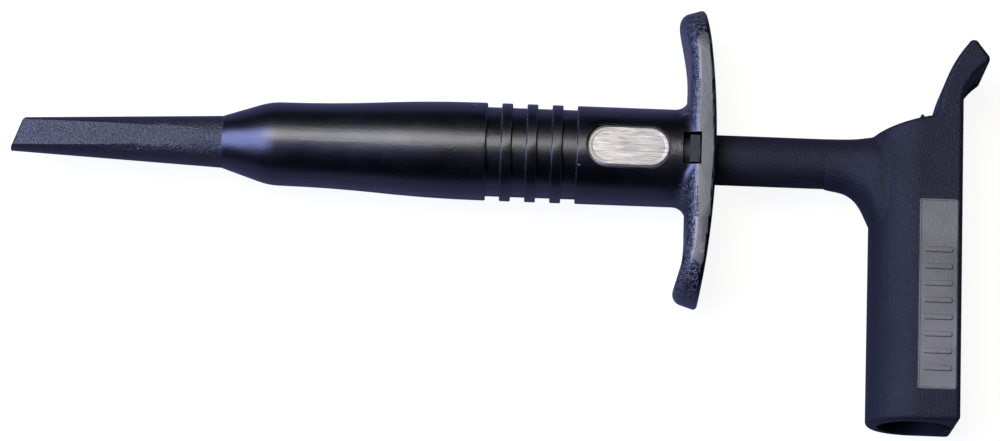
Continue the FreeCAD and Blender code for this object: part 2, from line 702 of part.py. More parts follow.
def add_neck(body):
    """Flare the shaft out into the tube: its lower side is a quarter circle."""
    sections = []
    for part_way, widening in ((0, 0), (0.43, 0.12), (0.78, 0.45), (0.96, 0.8)):
        drop = "dims.neck_radius * (1 - sqrt(1 - %s ^ 2))" % part_way
        sections.append((
            "dims.tube_front - (1 - %s) * dims.neck_radius" % part_way,
            "dims.shaft_radius + %s * 0.4" % widening,
            "dims.shaft_radius + 0.02 + " + drop,
            "dims.shaft_radius + %s" % widening))
    sections.append((
        "dims.tube_front + 2.1", "dims.hump_start + 0.1",
        "dims.shaft_radius + 1.08 * dims.neck_radius", "dims.shaft_radius + 1.2"))
    sketches = []
    for place_x, top, low, half_width in sections:
        upper = "%s - (%s)" % (top, half_width)
        lower = "0 - (%s) + %s" % (low, half_width)
        sketches.append(outline(
            new_sketch(body, "YZ_Plane", lift=place_x),
            (lower, "0 - (%s)" % half_width),
            (upper, "0 - (%s)" % half_width),
            (top, "0", upper, half_width),
            (lower, half_width),
            ("0 - (%s)" % low, "0", lower, "0 - (%s)" % half_width)))
    doc.recompute()
    neck = body.newObject("PartDesign::AdditiveLoft", body.Label + "_neck")
    neck.Profile = sketches[0]
    neck.Sections = sketches[1:]
    doc.recompute()


def make_handle():
    body = new_body("handle")
    pad(body, handle_outline(new_sketch(body, "XY_Plane")), "2 * dims.tube_half_depth")
    front = "dims.tube_front - 8"
    pocket(body, outline(
        new_sketch(body, "XZ_Plane"),
        (front, "0 - 9"),
        (SOCKET_X, "0 - 9"),
        (SOCKET_X, "0 - dims.tube_half_depth"),
        ("dims.tube_front", "0", SOCKET_X, "dims.tube_half_depth"),
        (SOCKET_X, "9"),
        (front, "9"),
        (front, "0 - 9")))
    flat_start = SIZE["tube_front"] + SIZE["tube_half_depth"]
    fillet(body, "dims.handle_edge", lambda edge: abs(middle_of(edge).x - flat_start) > 0.01)
    pad(body, round_outline(new_sketch(body, "YZ_Plane", lift="dims.shaft_start"),
                            ("0", "0"), "dims.shaft_radius"),
        SOCKET_X + " - dims.shaft_start", midplane=False)
    add_neck(body)
    front, rear = SIZE["tube_front"], SIZE["tube_front"] + 4
    fillet(body, "dims.neck_blend",
           lambda edge: front < middle_of(edge).x < rear and abs(middle_of(edge).y) < 11)
    turn(body, box_outline(
        new_sketch(body, "XY_Plane", shift=SOCKET_X), ("0", "0 - dims.mouth_place - 1"),
        ("dims.socket_radius", "0 - dims.mouth_place + dims.socket_depth")), "V_Axis", cut=True)
    turn(body, box_outline(
        new_sketch(body, "XY_Plane", shift=SOCKET_X), ("0", "0 - dims.mouth_place"),
        ("dims.head_radius", "dims.head_top")), "V_Axis", cut=True)
    turn(body, box_outline(
        new_sketch(body, "XY_Plane"), ("dims.shaft_start - 1", "0"),
        ("dims.rod_end", "dims.rod_radius")), cut=True)
    pocket(body, box_outline(
        new_sketch(body, "XY_Plane", lift="dims.tube_half_depth - dims.panel_depth"),
        ("dims.panel_start", "0 - dims.panel_top_edge - dims.panel_length"),
        ("dims.panel_start + dims.panel_width", "0 - dims.panel_top_edge")),
        "2", midplane=False, backwards=True)


def make_label_panel():
    body = new_body("label_panel")
    pad(body, box_outline(
        new_sketch(body, "XY_Plane", lift="dims.tube_half_depth - dims.panel_depth"),
        ("dims.panel_start", "0 - dims.panel_top_edge - dims.panel_length"),
        ("dims.panel_start + dims.panel_width", "0 - dims.panel_top_edge")),
        "dims.panel_depth + dims.panel_proud", midplane=False)
    top = SIZE["tube_half_depth"] + SIZE["panel_proud"]
    fillet(body, "dims.panel_edge", lambda edge: abs(middle_of(edge).z - top) < 0.01)


def make_socket_contact():
    body = turned_part(
        "socket_contact",
        ("0", "dims.head_top"),
        ("dims.head_radius - dims.seat_play", "dims.head_top"),
        ("dims.head_radius - dims.seat_play", "0 - dims.mouth_place + dims.socket_depth"),
        ("dims.socket_radius - dims.seat_play", "0 - dims.mouth_place + dims.socket_depth"),
        ("dims.socket_radius - dims.seat_play",
         "0 - dims.mouth_place + dims.socket_depth - dims.contact_collar"),
        ("dims.contact_radius", "0 - dims.mouth_place + dims.socket_depth - dims.contact_collar"),
        ("dims.contact_radius", "0 - dims.contact_mouth"),
        ("dims.contact_bore", "0 - dims.contact_mouth"),
        ("dims.contact_bore", "0 - dims.contact_floor - 1.2"),
        ("dims.screw_head_radius", "0 - dims.contact_floor - 1.2"),
        ("dims.screw_head_radius", "0 - dims.contact_floor"),
        ("dims.screw_radius", "0 - dims.contact_floor"),
        ("dims.screw_radius", "0 - dims.rod_radius + 0.2"),
        ("0", "0 - dims.rod_radius + 0.2"),
        ("0", "dims.head_top"), axis="V_Axis", shift=SOCKET_X)
    turn(body, box_outline(
        new_sketch(body, "XY_Plane"), ("dims.tube_front - 1", "0"),
        ("dims.rod_end", "dims.rod_radius")), cut=True)


def make_contact_screw():
    turned_part(
        "contact_screw",
        ("0", "0 - dims.rod_radius"),
        ("dims.screw_radius", "0 - dims.rod_radius - 0.3"),
        ("dims.screw_radius", "0 - dims.contact_floor"),
        ("dims.screw_head_radius - 0.05", "0 - dims.contact_floor"),
        ("dims.screw_head_radius - 0.05", "0 - dims.contact_floor - 1"),
        ("0", "0 - dims.contact_floor - 1"),
        ("0", "0 - dims.rod_radius"), axis="V_Axis", shift=SOCKET_X)


def make_socket_ring():
    top = "0 - dims.mouth_place + dims.socket_depth - dims.contact_collar"
    low = top + " - dims.ring_thickness"
    turned_part(
        "socket_ring",
        ("dims.contact_radius + 0.05", low),
        ("dims.socket_radius", low),
        ("dims.socket_radius", top),
        ("dims.contact_radius + 0.05", top),
        ("dims.contact_radius + 0.05", low), axis="V_Axis", shift=SOCKET_X)


# ---------------------------------------------------------------- build, check, write

make_nose()
make_nose_liner()
make_barrel()
make_marking_plate()
make_rear_bush()
make_spring_seat()
make_rod()
make_drive_strip()
make_pins()
make_collar_parts()
make_return_spring()
make_jaw("upper_jaw", 1)
make_jaw("lower_jaw", -1)
make_handle()
make_label_panel()
make_socket_contact()
make_contact_screw()
make_socket_ring()
doc.recompute()

for thing in doc.Objects:
    if "Invalid" in thing.State or "Error" in thing.State:
        raise RuntimeError("%s did not compute" % thing.Label)
for sub_part in sub_parts:
    if sub_part.Shape.isNull() or not sub_part.Shape.isValid():
        raise RuntimeError("%s has no valid shape" % sub_part.Label)

os.makedirs("parts", exist_ok=True)
for sub_part in sub_parts:
    sub_part.Shape.exportStep("parts/%s.step" % sub_part.Label)
    print("%-16s %9.2f mm3  solids %d" % (
        sub_part.Label, sub_part.Shape.Volume, len(sub_part.Shape.Solids)))
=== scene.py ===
"""A plunger-operated test clip: the finished pieces, their materials and a small studio round them."""
import math

import bmesh
import bpy
from bpy.props import FloatProperty, FloatVectorProperty, IntProperty, PointerProperty
from mathutils import Matrix, Vector


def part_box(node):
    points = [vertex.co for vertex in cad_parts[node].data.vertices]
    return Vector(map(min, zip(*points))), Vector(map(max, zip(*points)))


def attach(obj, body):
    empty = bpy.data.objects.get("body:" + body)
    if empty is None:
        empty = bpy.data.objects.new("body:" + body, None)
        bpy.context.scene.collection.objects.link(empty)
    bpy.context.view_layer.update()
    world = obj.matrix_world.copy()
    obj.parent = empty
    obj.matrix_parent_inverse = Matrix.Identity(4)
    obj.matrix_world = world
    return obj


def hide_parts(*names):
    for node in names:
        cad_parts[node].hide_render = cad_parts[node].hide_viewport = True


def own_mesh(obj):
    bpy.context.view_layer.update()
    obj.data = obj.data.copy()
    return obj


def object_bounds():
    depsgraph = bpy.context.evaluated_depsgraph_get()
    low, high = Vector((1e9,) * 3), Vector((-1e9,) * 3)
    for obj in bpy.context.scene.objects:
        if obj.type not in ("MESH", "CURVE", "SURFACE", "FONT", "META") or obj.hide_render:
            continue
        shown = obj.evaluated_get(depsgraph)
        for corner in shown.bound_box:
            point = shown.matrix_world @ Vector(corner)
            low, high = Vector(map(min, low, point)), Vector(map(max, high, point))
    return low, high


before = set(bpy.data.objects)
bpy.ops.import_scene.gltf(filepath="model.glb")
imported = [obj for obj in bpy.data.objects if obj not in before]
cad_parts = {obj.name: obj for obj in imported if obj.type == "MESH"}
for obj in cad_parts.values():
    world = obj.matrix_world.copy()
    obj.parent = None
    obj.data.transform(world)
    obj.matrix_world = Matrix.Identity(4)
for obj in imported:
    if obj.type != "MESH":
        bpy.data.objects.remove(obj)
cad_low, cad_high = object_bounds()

bl_info = {
    "name": "Plunger Test Clip",
    "version": (1, 0, 0),
    "blender": (4, 5, 0),
    "location": "3D View > Sidebar > Test Clip",
    "description": "Finishes the pieces of a plunger-operated test clip and sets up a studio",
    "category": "Object",
}

MM = 0.001
BARREL_BODY = "barrel_body"
PLUNGER_BODY = "plunger"

WELD = 0.0005 * MM                  # corners nearer than this are one corner
FLUSH = math.radians(0.6)           # faces that turn less than this are merged before edges are rounded
CRISP = math.radians(40)            # edges that turn further than this are rounded
FLATS_FIRST = 80                    # how far smooth shading favours a piece's largest faces
SAME_PLANE = 0.99999                # cosine between the normals of two faces in one plane
UPWARD = 0.9                        # normals with more Z than this belong to an upper face
LEVEL = 0.99                        # the same for a face that is nearly level
BAND_FACING = 0.95                  # the same, either way up, for the flange's edge band
FORWARD = -0.05                     # normals with less X than this face the nose tip
WALL = 0.1 * MM                     # edges with more height than this are a plate's corners
SLEEK = 0.9                         # usual specular level of the moulded plastics
TARNISHED = 0.66                    # brightness of dull metal against clean metal
BURNISHED_HIGHLIGHT = 1.18                    # brightness of a worn metal edge against clean metal; the bright edge is partly wear, partly a painted edge highlight
UNBRUSHED = 0.50                    # brightness of the plate between its brushed lines

# The barrel's axis runs along X through the middle of the nose.
nose_low, nose_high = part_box("nose")
AXIS_Y = (nose_low.y + nose_high.y) / 2
AXIS_Z = (nose_low.z + nose_high.z) / 2


# ---------------------------------------------------------------- settings

def length(name, about, value, low=0.0, high=1.0):
    return FloatProperty(name=name, description=about, default=value, min=low, max=high,
                         unit="LENGTH", subtype="DISTANCE", precision=5)


def share(name, about, value):
    return FloatProperty(name=name, description=about, default=value, min=0.0, max=1.0, subtype="FACTOR")


def brightness(name, about, value):
    return FloatProperty(name=name, description=about, default=value, min=0.0)


def colour(name, about, value):
    return FloatVectorProperty(name=name, description=about, default=value, size=3, min=0.0, max=1.0,
                               subtype="COLOR")


def angle(name, about, degrees):
    return FloatProperty(name=name, description=about, default=math.radians(degrees), unit="ROTATION",
                         subtype="ANGLE")


class ClipColours(bpy.types.PropertyGroup):
    plastic: colour("Black plastic", "Nose and barrel", (0.0006, 0.0006, 0.0008))
    handle: colour("Handle plastic", "The faintly blue plastic of the handle", (0.0008, 0.0012, 0.0042))
    # The flange's edge band is painted light grey: a painted highlight standing in for the overhead light on
    # its level faces.
    satin: colour("Flange edge", "The rubbed edge band of the finger flange", (0.085, 0.080, 0.066))
    # The label panel is painted light grey: a painted highlight standing in for the overhead light it
    # reflects.
    label: colour("Label panel", "The satin panel on the handle", (0.084, 0.077, 0.060))
    latch: colour("Latch plastic", "Bushes, nose liner and socket ring", (0.004, 0.004, 0.008))
    plate: colour("Plate metal", "The brushed plate on the barrel", (0.64, 0.59, 0.48))
    steel: colour("Spring steel", "Jaws, spring, pins and clips", (0.62, 0.61, 0.60))
    brass: colour("Brass", "Rod, collar, rivet and contact", (0.72, 0.52, 0.25))
    rubber: colour("Rubber", "The stop washer", (0.011, 0.011, 0.011))
    # Pale colour painted on edges as wear and as a painted edge highlight, and on the flange's worm ridges as
    # a painted highlight
    wear_and_highlight: colour("Wear", "What shows through where an edge is rubbed", (0.055, 0.055, 0.062))
    dust: colour("Dust", "Specks lying on the plastic", (0.34, 0.34, 0.36))


class ClipFinish(bpy.types.PropertyGroup):
    edge_angle: angle("Edge angle", "Edges that turn further than this stay crisp", 26)
    metal_rounding: length("Metal rounding", "Width of the rounds on sheet metal edges", 0.04 * MM, high=0.01)
    grain_size: length("Grain size", "Spacing of the spark-eroded grain", 0.23 * MM, high=0.01)
    grain_depth: length("Grain depth", "Depth of the spark-eroded grain", 0.16 * MM, high=0.01)
    barrel_grain_depth: length("Barrel grain depth", "Depth of the finer grain on the barrel", 0.022 * MM,
                               high=0.01)
    worm_depth: length("Worm depth", "Depth of the wormy texture on the flange front", 0.05 * MM, high=0.01)
    brush_depth: length("Brush depth", "Depth of the brushed lines on the plate", 0.0022 * MM, high=0.01)
    tool_depth: length("Tool mark depth", "Depth of the marks on turned metal", 0.0012 * MM, high=0.01)
    worm_size: length("Worm size", "Spacing of the wormy texture", 0.62 * MM, high=0.01)


class ClipSizes(bpy.types.PropertyGroup):
    flange_front: length("Flange front", "Front face of the flange, behind the nose tip", 76.8 * MM)
    flange_crown: length("Flange crown", "Round on the front edge of the flange", 1.25 * MM)
    flange_sweep: length("Flange sweep", "How far the wings sweep in front of the flange's middle", 3.0 * MM)
    flange_root: length("Flange root", "How far the crown reaches in front of the flange's middle", 0.9 * MM)
    flange_margin: length("Flange margin", "Where the wings begin, outside the barrel", 1.0 * MM)
    flange_shoulder: share("Flange shoulder", "Where the texture begins, against the barrel's radius", 0.72)
    band_lead: length("Band lead", "How far the edge band starts before the crown ends", 0.1 * MM)
    band_drop: length("Band drop", "How far below the barrel's top the edge band may lie", 0.2 * MM)
    plate_rim: length("Plate rim", "Width of the bright bevelled rim of the plate", 0.26 * MM)
    plate_crown: length("Plate rim height", "Height of that bevel", 0.16 * MM)
    stamp_inset: length("Stamped line inset", "How far the stamped line lies inside the rim", 0.34 * MM)
    stamp_wall: length("Stamped line wall", "Width of each sloping side of the stamped line", 0.05 * MM)
    stamp_floor: length("Stamped line floor", "Width of the floor of the stamped line", 0.10 * MM)
    stamp_depth: length("Stamped line depth", "Depth of the stamped line", 0.012 * MM)
    stamp_rise: length("Stamped line rise", "How far the middle comes up again", 0.010 * MM)
    panel_corner: length("Panel corner", "Corner radius of the label panel", 0.32 * MM)
    panel_slope: length("Panel slope", "Width of the sloping edge of the panel", 0.09 * MM)
    panel_rise: length("Panel rise", "Height of that slope", 0.06 * MM)
    panel_border: length("Panel border", "Width of the flat border inside the slope", 0.12 * MM)
    panel_step: length("Panel step", "Width of the step inside the border", 0.05 * MM)
    panel_sink: length("Panel sink", "Depth of the field inside the border", 0.04 * MM)
    bar_count: IntProperty(name="Bars", description="Raised bars on the label panel", default=8, min=0)
    bar_height: length("Bar height", "How proud the bars stand", 0.20 * MM)
    bar_width: length("Bar width", "Width of each raised bar", 0.62 * MM)
    bar_root: length("Bar root", "How deep the bars are sunk in the panel", 0.06 * MM)
    bar_round: length("Bar round", "Round on the upper edge of the bars", 0.08 * MM)
    bar_corner: share("Bar corner", "Corner radius of the bars against their width", 0.46)
    bar_reach: share("Bar reach", "Length of the bars against the panel's width", 0.74)
    bar_spread: share("Bar spread", "Length of the row of bars against the panel's length", 0.62)
    bar_start: share("Bar start", "Where the row starts, against the panel's length", 0.27)
    wire: length("Spring wire", "Diameter of the spring's wire", 0.60 * MM)
    spring_turns: IntProperty(name="Spring turns", description="Turns of the return spring", default=16,
                              min=3)
    spring_keep: share("Spring keep", "Length of the pressed spring against its free length", 0.618)
    nib: length("Gate nib", "Radius of the moulding nib on the handle's hump", 0.26 * MM)
    nib_place: length("Gate nib place", "Its place behind the nose tip", 103.0 * MM)
    nib_height: length("Gate nib height", "Its place above the barrel's axis, towards the horn", 4.70 * MM)
    nib_rise: length("Gate nib rise", "Its place above the barrel's axis, towards the label", 4.75 * MM)
    nib_taper: share("Gate nib taper", "Width of the nib's tip against its root", 0.7)
    nib_stretch: share("Gate nib stretch", "Where its tip starts, and how far that is drawn out", 0.3)


class StudioSettings(bpy.types.PropertyGroup):
    azimuth: angle("Azimuth", "Camera direction round the clip", 2.2)
    elevation: angle("Elevation", "Camera height above the floor", 76.8)
    distance: length("Distance", "Camera distance", 432 * MM, high=10)
    lens: FloatProperty(name="Lens", description="Focal length", default=137.4, unit="CAMERA", min=10)
    aim_x: length("Aim X", "Aim point from the middle of the clip", 0.60 * MM, low=-1)
    aim_y: length("Aim Y", "Aim point from the middle of the clip", -1.62 * MM, low=-1)
    floor_size: length("Floor size", "Side of the floor", 6.0, high=100)
    floor: colour("Floor", "Pale floor", (0.22, 0.21, 0.19))
    floor_glow: brightness("Floor glow", "How much the pale floor lights itself", 0.92)
    floor_reflected: colour("Reflected floor", "How the floor shows in the gloss of the clip",
                            (0.25, 0.245, 0.34))
    overhead: brightness("Overhead", "Brightness of the overhead softbox", 7.2)
    side: brightness("Side", "Brightness of the cool side softbox", 9.0)
    low_side: brightness("Low side", "Brightness of the low cool softbox", 1.2)
    room: brightness("Room", "Brightness of the room in reflections", 0.004)
    backdrop: brightness("Backdrop", "Brightness of the room behind the floor", 0.85)
    white: colour("White light", "Colour of the overhead softbox", (1.0, 0.985, 0.965))
    cool: colour("Cool light", "Colour of the side softboxes", (0.38, 0.45, 1.0))
    room_tint: colour("Room tint", "Colour of the room", (0.95, 0.96, 1.0))


# Each softbox: its name, its place from the clip in metres, its width and height, and its two settings.
SOFTBOXES = (
    ("overhead_softbox", (-0.17, 0.18, 0.75), 0.36, 0.36, "overhead", "white"),
    ("cool_side_softbox", (-0.463, 0.02, 0.59), 0.66, 0.40, "side", "cool"),
    ("cool_low_softbox", (-0.70, 0.0, 0.24), 0.90, 0.40, "low_side", "cool"),
)


# ---------------------------------------------------------------- selecting and shaping

def select_only(*pieces):
    bpy.ops.object.select_all(action="DESELECT")
    for piece in pieces:
        piece.select_set(True)
    bpy.context.view_layer.objects.active = pieces[0]


def edit(piece):
    select_only(piece)
    bpy.ops.object.mode_set(mode="EDIT")
    bpy.ops.mesh.select_all(action="DESELECT")
    bpy.ops.mesh.select_mode(type="FACE")


def object_mode():
    bpy.ops.object.mode_set(mode="OBJECT")


def choose(piece, kind, test):
    """In edit mode, selects by a test: faces by centre and normal, edges by their ends, vertices by place."""
    bpy.ops.mesh.select_all(action="DESELECT")
    bpy.ops.mesh.select_mode(type=kind)
    mesh = bmesh.from_edit_mesh(piece.data)
    if kind == "FACE":
        for face in mesh.faces:
            face.select_set(test(face.calc_center_median(), face.normal))
    elif kind == "EDGE":
        for edge in mesh.edges:
            edge.select_set(test(edge.verts[0].co, edge.verts[1].co))
    else:
        for vertex in mesh.verts:
            vertex.select_set(test(vertex.co))
    mesh.select_flush_mode()
    bmesh.update_edit_mesh(piece.data)


def apply_place(piece):
    select_only(piece)
    bpy.ops.object.transform_apply(location=True, rotation=True, scale=True)


def apply_modifier(piece, kind, **settings):
    select_only(piece)
    bpy.ops.object.modifier_add(type=kind)
    modifier = piece.modifiers[-1]
    for key, value in settings.items():
        setattr(modifier, key, value)
    bpy.ops.object.modifier_apply(modifier=modifier.name)


def soften(piece, width):
    """Rounds every crisp edge of a piece a little."""
    apply_modifier(piece, "BEVEL", width=width, segments=2, limit_method="ANGLE", angle_limit=CRISP,
                   use_clamp_overlap=False, miter_outer="MITER_ARC")


def smooth(piece):
    """Smooth shading up to the edge angle, weighted so that flats stay flat."""
    select_only(piece)
    bpy.ops.object.shade_smooth_by_angle(angle=bpy.context.scene.clip_finish.edge_angle)
    apply_modifier(piece, "WEIGHTED_NORMAL", weight=FLATS_FIRST, keep_sharp=True)


def outward(piece):
    edit(piece)
    bpy.ops.mesh.select_all(action="SELECT")
    bpy.ops.mesh.normals_make_consistent(inside=False)
    object_mode()


def finish_piece(piece, body, material, stands_for=()):
    """Gives a finished piece its material, parents it to the body it rides on and hides the nodes it stands
    for.
    """
    piece.data.materials.clear()
    piece.data.materials.append(material)
    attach(piece, body)
    if stands_for:
        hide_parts(*stands_for)


def moulded_copy(node, name, rounding=0.0):
    """A welded and smoothly shaded copy of a node's mesh, with its crisp edges rounded if asked."""
    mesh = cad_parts[node].data.copy()
    mesh.name = name
    mesh.materials.clear()
    piece = bpy.data.objects.new(name, mesh)
    bpy.context.scene.collection.objects.link(piece)
    select_only(piece)
    bpy.ops.mesh.customdata_custom_splitnormals_clear()
    edit(piece)
    bpy.ops.mesh.select_all(action="SELECT")
    bpy.ops.mesh.remove_doubles(threshold=WELD)
    if rounding:
        bpy.ops.mesh.dissolve_limited(angle_limit=FLUSH)
    object_mode()
    if rounding:
        soften(piece, rounding)
    smooth(piece)
    return piece


# ---------------------------------------------------------------- node groups

def new_group(name, inputs, outputs):
    tree = bpy.data.node_groups.new(name, "ShaderNodeTree")
    for label, value in inputs:
        socket = tree.interface.new_socket(label, in_out="INPUT", socket_type="NodeSocketFloat")
        socket.default_value = value
    for label in outputs:
        tree.interface.new_socket(label, in_out="OUTPUT", socket_type="NodeSocketFloat")
    return tree, add(tree, "NodeGroupInput"), add(tree, "NodeGroupOutput")


def add(tree, kind, **values):
    """A node with its settings and inputs filled in; an input given a socket is linked to it."""
    node = tree.nodes.new(kind)
    for key, value in values.items():
        if key in node.inputs:
            put(tree, node.inputs[key], value)
        else:
            setattr(node, key, value)
    return node


def put(tree, socket, value):
    if isinstance(value, bpy.types.NodeSocket):
        tree.links.new(value, socket)
    else:
        socket.default_value = value


def maths(tree, operation, *values, clamp=False):
    node = add(tree, "ShaderNodeMath", operation=operation, use_clamp=clamp)
    for socket, value in zip(node.inputs, values):
        put(tree, socket, value)
    return node.outputs[0]


def remap(tree, value, low, high, out_low=0.0, out_high=1.0):
    node = add(tree, "ShaderNodeMapRange", clamp=True)
    for label, given in (("Value", value), ("From Min", low), ("From Max", high),
                         ("To Min", out_low), ("To Max", out_high)):
        put(tree, node.inputs[label], given)
    return node.outputs["Result"]


def stretched(tree, stretch):
    """Object coordinates, stretched along each axis."""
    place = add(tree, "ShaderNodeTexCoord").outputs["Object"]
    mapping = add(tree, "ShaderNodeMapping", Scale=stretch)
    put(tree, mapping.inputs["Vector"], place)
    return mapping.outputs["Vector"]


def noise(tree, where, scale, detail=3.0, roughness=0.5, distortion=0.0):
    node = add(tree, "ShaderNodeTexNoise", Detail=detail, Roughness=roughness, Distortion=distortion)
    put(tree, node.inputs["Vector"], where)
    put(tree, node.inputs["Scale"], scale)
    return node.outputs["Fac"]


def build_mould_grain():
    """Spark-eroded grain: soft pits with a finer layer over them, and a mask of flecks on its peaks."""
    tree, given, made = new_group("mould_grain", [("Size", 0.23 * MM)], ["Height", "Fleck", "Tone"])
    where = stretched(tree, (1, 1, 1))
    scale = maths(tree, "DIVIDE", 1.0, given.outputs["Size"])
    coarse = noise(tree, where, scale, detail=2.0, roughness=0.55)
    fine = noise(tree, where, maths(tree, "MULTIPLY", scale, 2.6), detail=2.0, roughness=0.6)
    mixed = maths(tree, "ADD", maths(tree, "MULTIPLY", coarse, 0.7), maths(tree, "MULTIPLY", fine, 0.3))
    put(tree, made.inputs["Height"], mixed)
    put(tree, made.inputs["Fleck"], remap(tree, mixed, 0.60, 0.72))
    broad = noise(tree, where, maths(tree, "MULTIPLY", scale, 0.03), detail=3.0)
    put(tree, made.inputs["Tone"], remap(tree, broad, 0.3, 0.7))
    return tree


def build_edge_wear_highlight():
    """Edge wear and painted edge highlight: the turn between the true and the rounded normal, broken up."""
    tree, given, made = new_group("edge_rub", [("Radius", 0.18 * MM), ("Amount", 1.0)], ["Mask"])
    rounded = add(tree, "ShaderNodeBevel", samples=4)
    put(tree, rounded.inputs["Radius"], given.outputs["Radius"])
    true_normal = add(tree, "ShaderNodeNewGeometry").outputs["True Normal"]
    dot = add(tree, "ShaderNodeVectorMath", operation="DOT_PRODUCT")
    put(tree, dot.inputs[0], rounded.outputs["Normal"])
    put(tree, dot.inputs[1], true_normal)
    turned = remap(tree, dot.outputs["Value"], 0.995, 0.90)
    where = stretched(tree, (1, 1, 1))
    breaks = remap(tree, noise(tree, where, 900.0, detail=3.0, roughness=0.6), 0.38, 0.62)
    mask = maths(tree, "MULTIPLY", turned, breaks)
    put(tree, made.inputs["Mask"], maths(tree, "MULTIPLY", mask, given.outputs["Amount"], clamp=True))
    return tree


def build_handling():
    """What a used tool picks up: a few dust specks, and smudges that change the gloss."""
    tree, given, made = new_group("handling", [("Specks", 1.0)], ["Speck", "Gloss"])
    where = stretched(tree, (1, 1, 1))
    cells = add(tree, "ShaderNodeTexVoronoi", feature="F1", Scale=420.0)
    put(tree, cells.inputs["Vector"], where)
    dot = remap(tree, cells.outputs["Distance"], 0.055, 0.035)
    chance = add(tree, "ShaderNodeSeparateColor")
    put(tree, chance.inputs["Color"], cells.outputs["Color"])
    rare = maths(tree, "GREATER_THAN", chance.outputs["Red"], 0.86)
    speck = maths(tree, "MULTIPLY", maths(tree, "MULTIPLY", dot, rare), given.outputs["Specks"], clamp=True)
    put(tree, made.inputs["Speck"], speck)
    blot = remap(tree, noise(tree, where, 110.0, detail=4.0, roughness=0.62, distortion=0.4), 0.35, 0.7)
    put(tree, made.inputs["Gloss"], blot)
    return tree


def build_brushed_lines():
    """Fine lines drawn along X, in a coarse and a fine layer."""
    tree, given, made = new_group("brushed_lines", [("Length", 2.6 * MM), ("Width", 0.19 * MM)],
                                  ["Height", "Tone"])
    where = add(tree, "ShaderNodeTexCoord").outputs["Object"]
    along = maths(tree, "DIVIDE", 1.0, given.outputs["Length"])
    across = maths(tree, "DIVIDE", 1.0, given.outputs["Width"])
    scale = add(tree, "ShaderNodeCombineXYZ", X=along, Y=across, Z=across)
    layers = []
    for stretch in (1.0, 2.7):
        grown = add(tree, "ShaderNodeVectorMath", operation="MULTIPLY")
        put(tree, grown.inputs[0], where)
        put(tree, grown.inputs[1], scale.outputs["Vector"])
        layers.append(noise(tree, grown.outputs["Vector"], stretch, detail=3.0, roughness=0.65))
    coarse, fine = maths(tree, "MULTIPLY", layers[0], 0.6), maths(tree, "MULTIPLY", layers[1], 0.4)
    lines = maths(tree, "ADD", coarse, fine)
    put(tree, made.inputs["Height"], lines)
    put(tree, made.inputs["Tone"], remap(tree, lines, 0.34, 0.66))
    return tree


def build_worm_texture():
    """Shallow winding ridges, as an eroded mould leaves them."""
    tree, given, made = new_group("worm_texture", [("Size", 0.6 * MM)], ["Ridge"])
    where = stretched(tree, (1, 1, 1))
    scale = maths(tree, "DIVIDE", 1.0, given.outputs["Size"])
    waves = noise(tree, where, scale, detail=1.5, roughness=0.5, distortion=1.2)
    folded = maths(tree, "ABSOLUTE", maths(tree, "SUBTRACT", waves, 0.5))
    put(tree, made.inputs["Ridge"], remap(tree, folded, 0.0, 0.11, 1.0, 0.0))
    return tree


GROUP_BUILDERS = {
    "mould_grain": build_mould_grain,
    "edge_rub": build_edge_wear_highlight,
    "handling": build_handling,
    "brushed_lines": build_brushed_lines,
    "worm_texture": build_worm_texture,
}


def use_group(tree, name, **values):
    group = bpy.data.node_groups.get(name) or GROUP_BUILDERS[name]()
    node = add(tree, "ShaderNodeGroup", node_tree=group)
    for label, value in values.items():
        put(tree, node.inputs[label], value)
    return node.outputs


# ---------------------------------------------------------------- materials

def new_material(name, roughness, metallic=0.0, **shader_values):
    material = bpy.data.materials.get(name)
    if material:
        return material, None, None
    material = bpy.data.materials.new(name)
    material.use_nodes = True
    tree = material.node_tree
    shader = tree.nodes["Principled BSDF"]
    shader.inputs["Roughness"].default_value = roughness
    shader.inputs["Metallic"].default_value = metallic
    for label, value in shader_values.items():
        shader.inputs[label.replace("_", " ")].default_value = value
    return material, tree, shader


def mix_colour(tree, factor, first, second):
    node = add(tree, "ShaderNodeMix", data_type="RGBA")
    put(tree, node.inputs["Factor"], factor)
    for label, value in (("A", first), ("B", second)):
        socket = [s for s in node.inputs if s.name == label and s.type == "RGBA"][0]
        put(tree, socket, (*value, 1.0) if isinstance(value, (tuple, list, Vector)) else value)
    return [s for s in node.outputs if s.type == "RGBA"][0]


def bump(tree, shader, height, distance, strength=1.0):
    node = add(tree, "ShaderNodeBump", Strength=strength, Distance=distance)
    put(tree, node.inputs["Height"], height)
    put(tree, shader.inputs["Normal"], node.outputs["Normal"])


def plastic(name, base, grain_size, grain_depth, roughness, rub=1.0, specks=1.0, tone=0.35, shine=SLEEK):
    """Moulded plastic: grained, painted pale on its edges as wear and as a painted edge highlight, a little
    dusty and smudged.
    """
    material, tree, shader = new_material(name, roughness, Specular_IOR_Level=shine)
    if not tree:
        return material
    colours = bpy.context.scene.clip_colours
    grain = use_group(tree, "mould_grain", Size=grain_size)
    rubbed_and_highlit = use_group(tree, "edge_rub", Amount=rub)
    handled = use_group(tree, "handling", Specks=specks)
    lighter = tuple(min(1.0, value * (1 + 2 * tone)) for value in base)
    body = mix_colour(tree, grain["Tone"], tuple(base), lighter)
    # Edges painted pale: partly wear, partly a painted edge highlight.
    worn_and_highlit = mix_colour(tree, rubbed_and_highlit["Mask"], body, tuple(colours.wear_and_highlight))
    dusty = mix_colour(tree, handled["Speck"], worn_and_highlit, tuple(colours.dust))
    put(tree, shader.inputs["Base Color"], dusty)
    gloss = remap(tree, handled["Gloss"], 0.0, 1.0, roughness - 0.04, roughness + 0.06)
    matt = maths(tree, "ADD", gloss, maths(tree, "MULTIPLY", grain["Fleck"], 0.05))
    put(tree, shader.inputs["Roughness"], matt)
    bump(tree, shader, grain["Height"], grain_depth)
    return material


